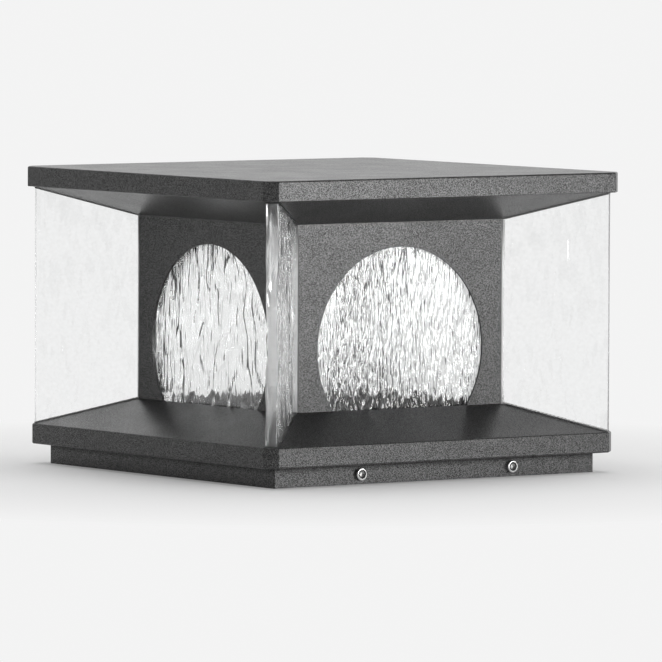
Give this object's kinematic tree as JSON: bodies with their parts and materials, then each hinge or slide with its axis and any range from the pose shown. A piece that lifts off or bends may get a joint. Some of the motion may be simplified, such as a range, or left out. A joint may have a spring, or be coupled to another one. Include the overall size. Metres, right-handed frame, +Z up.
{
  "type": "pillar light",
  "caption": "Low square outdoor light for a pillar top: flat hipped cap and base, hollow column with round rippled windows and clear rippled glass fins on the corners.",
  "frame": {"origin": "centre of the underside, on the pillar's top", "axes": "+Z up; -Y is the front face, the right-hand face in the picture, with a pair of clamp screws"},
  "size_m": [0.3, 0.3, 0.208],
  "materials": {
    "charcoal_coat": "fine-textured matt powder coat",
    "rippled_glass": "clear cast glass with a water-ripple face",
    "clear_silicone": "translucent neutral silicone",
    "black_rubber": "matt black",
    "zinc_steel": "bright zinc plate",
    "stainless_steel": "polished stainless",
    "bare_aluminium": "mill finish",
    "white_board": "white solder mask",
    "led_phosphor": "phosphor lens",
    "opal_plastic": "opal satin",
    "driver_case": "fine moulded grain",
    "black_nylon": "moulded nylon",
    "terminal_plastic": "moulded, natural white"
  },
  "bodies": {
    "mount": {"mounting_plate": "zinc_steel"},
    "lamp": {"base_deck": "charcoal_coat", "board_screws": "zinc_steel", "cap_bosses": "zinc_steel", "cap_gasket": "black_rubber", "cap_soffit": "charcoal_coat", "clip_screws": "zinc_steel", "column_shell": "charcoal_coat", "corner_fin_back_left": "rippled_glass", "corner_fin_back_right": "rippled_glass", "corner_fin_front_left": "rippled_glass", "corner_fin_front_right": "rippled_glass", "cover_screws": "zinc_steel", "deck_collar": "charcoal_coat", "diffuser_screws": "zinc_steel", "driver_screws": "zinc_steel", "earth_nut": "zinc_steel", "earth_stud": "zinc_steel", "end_frames": "charcoal_coat", "fin_gaskets": "clear_silicone", "floor_gasket": "black_rubber", "floor_plate": "charcoal_coat", "heat_sink": "bare_aluminium", "lead_gland": "black_nylon", "lead_locknut": "black_nylon", "led_board": "white_board", "led_chips": "led_phosphor", "led_diffuser": "opal_plastic", "led_driver": "driver_case", "led_tray": "bare_aluminium", "pane_clips": "zinc_steel", "pane_gaskets": "black_rubber", "plinth_skirt": "charcoal_coat", "rod_nuts": "zinc_steel", "rod_washers": "zinc_steel", "skirt_rivets": "bare_aluminium", "soffit_collar": "charcoal_coat", "supply_gland": "black_nylon", "terminal_block": "terminal_plastic", "terminal_cover": "black_nylon", "tie_rods": "zinc_steel", "top_cap": "charcoal_coat", "weld_nuts": "zinc_steel", "window_pane_back": "rippled_glass", "window_pane_front": "rippled_glass", "window_pane_left": "rippled_glass", "window_pane_right": "rippled_glass"},
    "screw_front_left": {"clamp_screw_front_left": "stainless_steel"},
    "screw_front_right": {"clamp_screw_front_right": "stainless_steel"},
    "screw_back_left": {"clamp_screw_back_left": "stainless_steel"},
    "screw_back_right": {"clamp_screw_back_right": "stainless_steel"}
  },
  "joints": [
    {"name": "lamp_lift", "type": "slide", "parent": "mount", "child": "lamp", "axis": [0, 0, 1], "range_m": [0, 0.06]},
    {"name": "front_left_screw_travel", "type": "slide", "parent": "lamp", "child": "screw_front_left", "axis": [0, -1, 0], "range_m": [0, 0.009]},
    {"name": "front_right_screw_travel", "type": "slide", "parent": "lamp", "child": "screw_front_right", "axis": [0, -1, 0], "range_m": [0, 0.009]},
    {"name": "back_left_screw_travel", "type": "slide", "parent": "lamp", "child": "screw_back_left", "axis": [0, 1, 0], "range_m": [0, 0.009]},
    {"name": "back_right_screw_travel", "type": "slide", "parent": "lamp", "child": "screw_back_right", "axis": [0, 1, 0], "range_m": [0, 0.009]}
  ]
}
